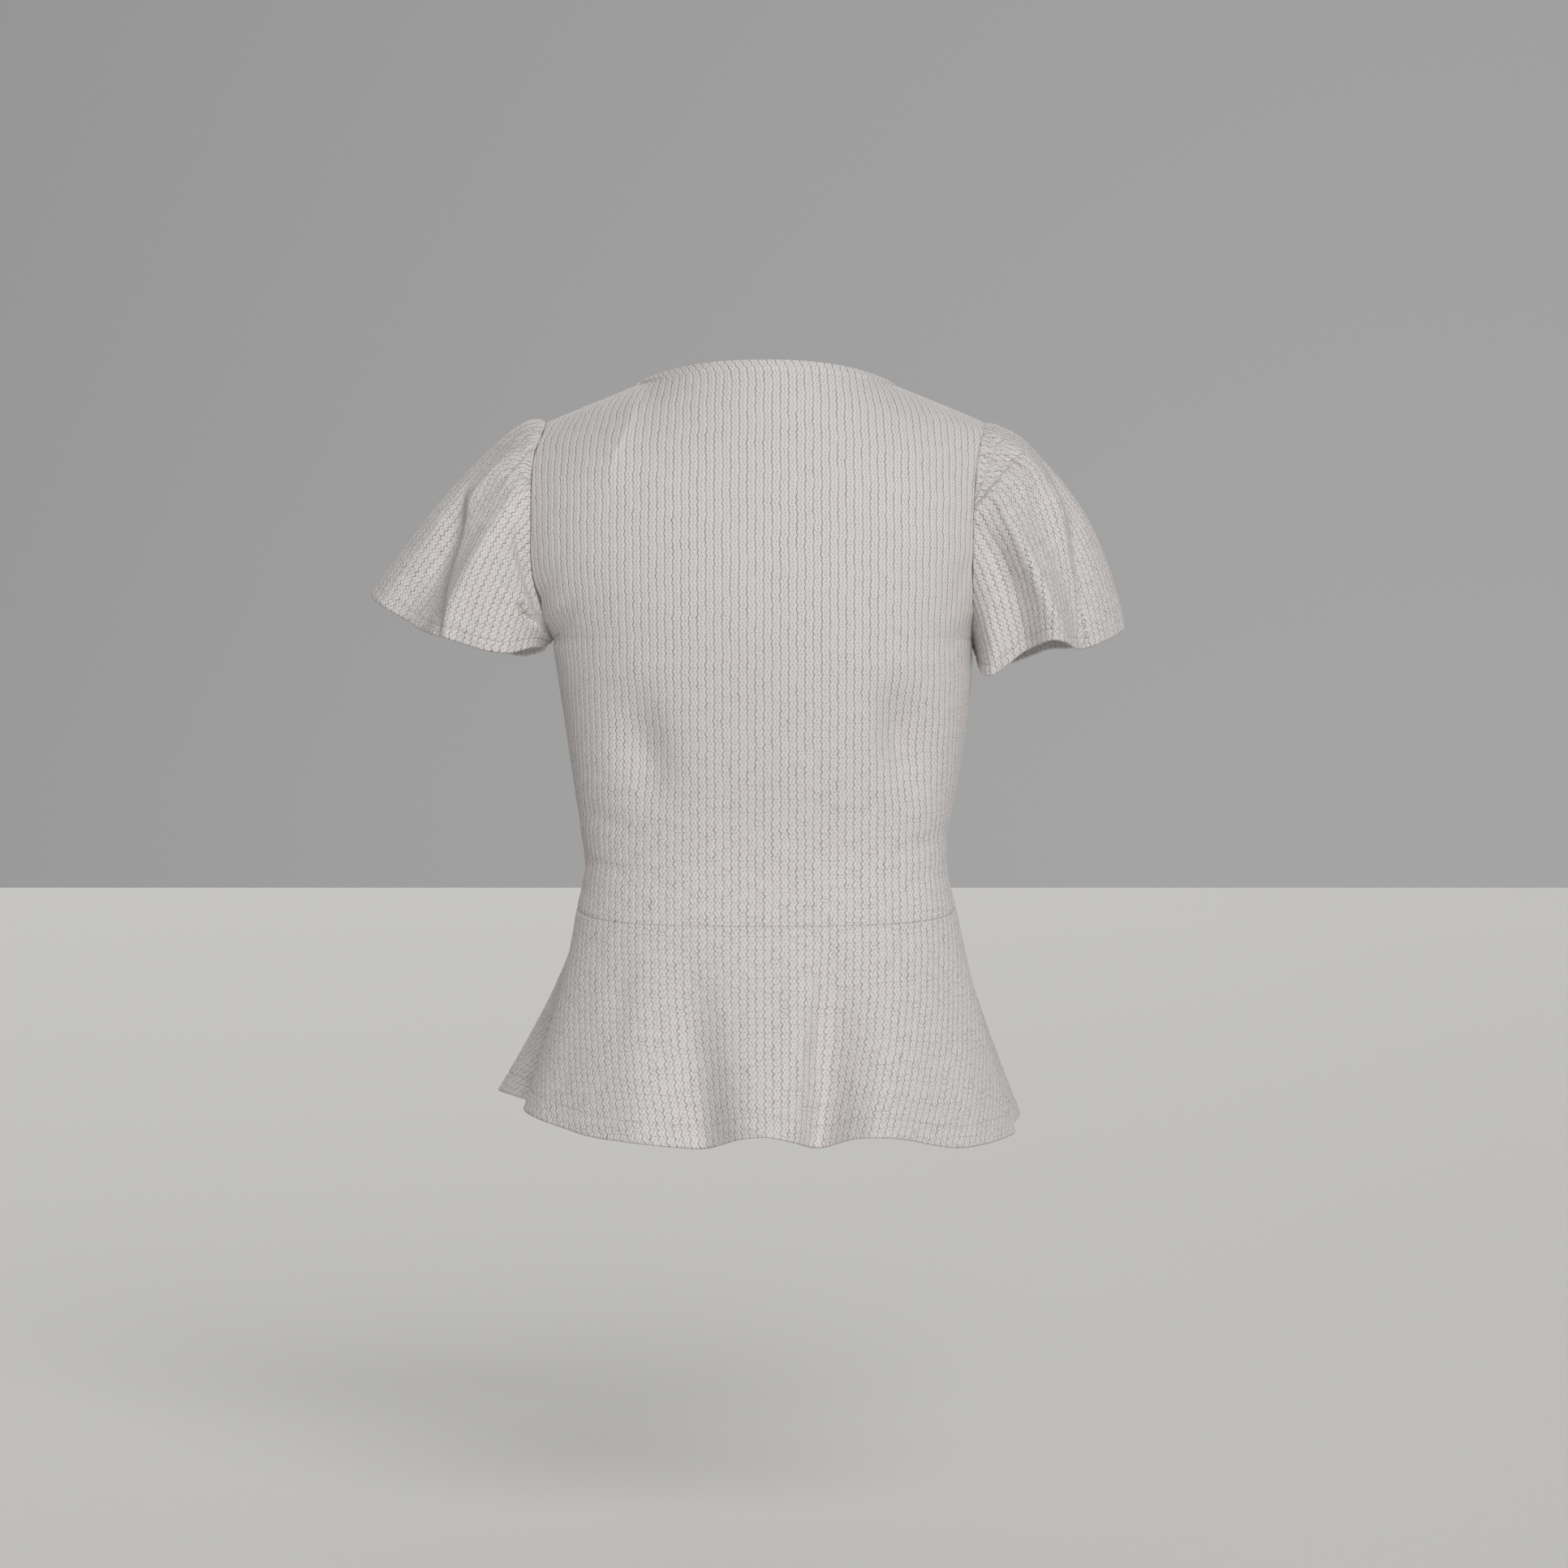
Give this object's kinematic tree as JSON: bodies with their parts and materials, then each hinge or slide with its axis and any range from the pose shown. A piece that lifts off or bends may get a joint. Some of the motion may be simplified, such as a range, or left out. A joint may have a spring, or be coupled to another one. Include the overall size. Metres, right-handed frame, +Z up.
{
  "type": "short-sleeved peplum blouse",
  "caption": "Short-sleeved rib-knit blouse in its hollow worn form, with a round neck, gathered flutter sleeves and a flared peplum below a waist seam.",
  "frame": {"origin": "middle of the shoulders: the point midway between the neck ends of the two shoulder seams, 1.5 mm below them", "axes": "+Z up, -Y out of the back of the blouse, +Y out of its front, +X towards the wearer's right sleeve"},
  "size_m": [0.5074, 0.2424, 0.5169],
  "materials": {
    "rib_knit": "matte off-white crinkle-rib knit"
  },
  "bodies": {
    "root": {"bodice_back": "rib_knit", "bodice_front": "rib_knit", "peplum_back": "rib_knit", "peplum_front": "rib_knit", "sleeve_left": "rib_knit", "sleeve_right": "rib_knit"}
  },
  "joints": []
}
